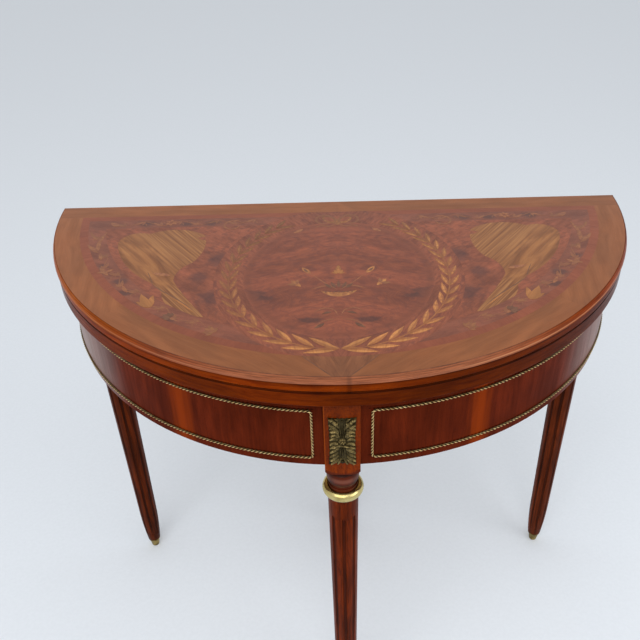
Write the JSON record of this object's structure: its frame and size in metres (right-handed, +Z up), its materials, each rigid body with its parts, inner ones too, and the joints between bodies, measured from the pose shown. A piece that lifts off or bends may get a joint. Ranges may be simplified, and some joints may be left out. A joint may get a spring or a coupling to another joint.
{
  "type": "demilune card table",
  "caption": "Half-round fold-over table with an inlaid wreath top, curved apron with rope-twist brass trim, fluted tapered legs and a gate leg that swings out to carry the open flap.",
  "frame": {"origin": "on the floor, below the middle of the table's box", "axes": "+Z up; the curved front faces -Y and the straight back faces +Y; +X to the right seen from the front"},
  "size_m": [0.914, 0.4603, 0.762],
  "materials": {
    "apron_mahogany": "polished reddish mahogany, upright grain",
    "leg_mahogany": "polished reddish mahogany, turned and fluted",
    "edge_walnut": "glossy orange-brown moulded edge",
    "walnut_border": "lacquered light walnut veneer",
    "dark_walnut": "lacquered dark walnut veneer",
    "crossband_red": "lacquered reddish crossbanding",
    "ground_mahogany": "lacquered mahogany ground veneer",
    "crotch_mahogany": "lacquered book-matched crotch mahogany",
    "striped_satinwood": "lacquered light striped veneer",
    "satinwood": "lacquered light inlay",
    "mahogany_veneer": "satin mahogany veneer of the playing side",
    "core_wood": "plain secondary wood, unpolished",
    "gilt_bronze": "darkened gilt casting",
    "polished_brass": "polished brass",
    "brass": "plain brass hardware",
    "steel": "plain steel"
  },
  "bodies": {
    "frame": {"apron_left": "apron_mahogany", "apron_right": "apron_mahogany", "back_rail": "core_wood", "centre_brace": "core_wood", "front_leg_head": "leg_mahogany", "front_leg_ring": "polished_brass", "front_leg_sabot": "polished_brass", "front_leg_shaft": "leg_mahogany", "front_mount": "gilt_bronze", "gate_block_screws": "steel", "gate_hinge_block": "core_wood", "gate_pin": "steel", "glue_blocks": "core_wood", "hinge_fixed_plates": "brass", "hinge_fixed_screws": "brass", "hinge_pins": "brass", "left_leg_head": "leg_mahogany", "left_leg_ring": "polished_brass", "left_leg_sabot": "polished_brass", "left_leg_shaft": "leg_mahogany", "lower_back_lipping": "edge_walnut", "lower_core": "core_wood", "lower_edge_lipping": "edge_walnut", "lower_top_veneer": "mahogany_veneer", "mount_pins": "gilt_bronze", "right_leg_head": "leg_mahogany", "right_leg_ring": "polished_brass", "right_leg_sabot": "polished_brass", "right_leg_shaft": "leg_mahogany", "rope_trim_left": "gilt_bronze", "rope_trim_right": "gilt_bronze", "top_screws": "steel"},
    "flap": {"flap_core": "core_wood", "flap_edge_lipping": "edge_walnut", "flap_back_lipping": "edge_walnut", "flap_inner_veneer": "mahogany_veneer", "flap_border_veneer": "walnut_border", "flap_front_dart": "dark_walnut", "flap_crossband": "crossband_red", "flap_scroll_band": "dark_walnut", "flap_ground_veneer": "ground_mahogany", "oval_band_veneer": "crossband_red", "medallion_veneer": "crotch_mahogany", "fan_inlay_left": "striped_satinwood", "fan_inlay_right": "striped_satinwood", "wreath_inlay": "satinwood", "bow_inlay": "satinwood", "basket_inlay": "satinwood", "hinge_flap_plates": "brass", "hinge_flap_screws": "brass"},
    "gate": {"fly_rail": "core_wood", "gate_leg_head": "leg_mahogany", "gate_leg_shaft": "leg_mahogany", "gate_leg_ring": "polished_brass", "gate_leg_sabot": "polished_brass"}
  },
  "joints": [
    {"name": "flap_hinge", "type": "hinge", "parent": "frame", "child": "flap", "pos_m": [0, 0.22675, 0.73875], "axis": [-1, 0, 0], "range_deg": [0, 180]},
    {"name": "gate_swing", "type": "hinge", "parent": "frame", "child": "gate", "pos_m": [-0.29008, 0.18373, 0.6731], "axis": [0, 0, 1], "range_deg": [0, 90]}
  ]
}
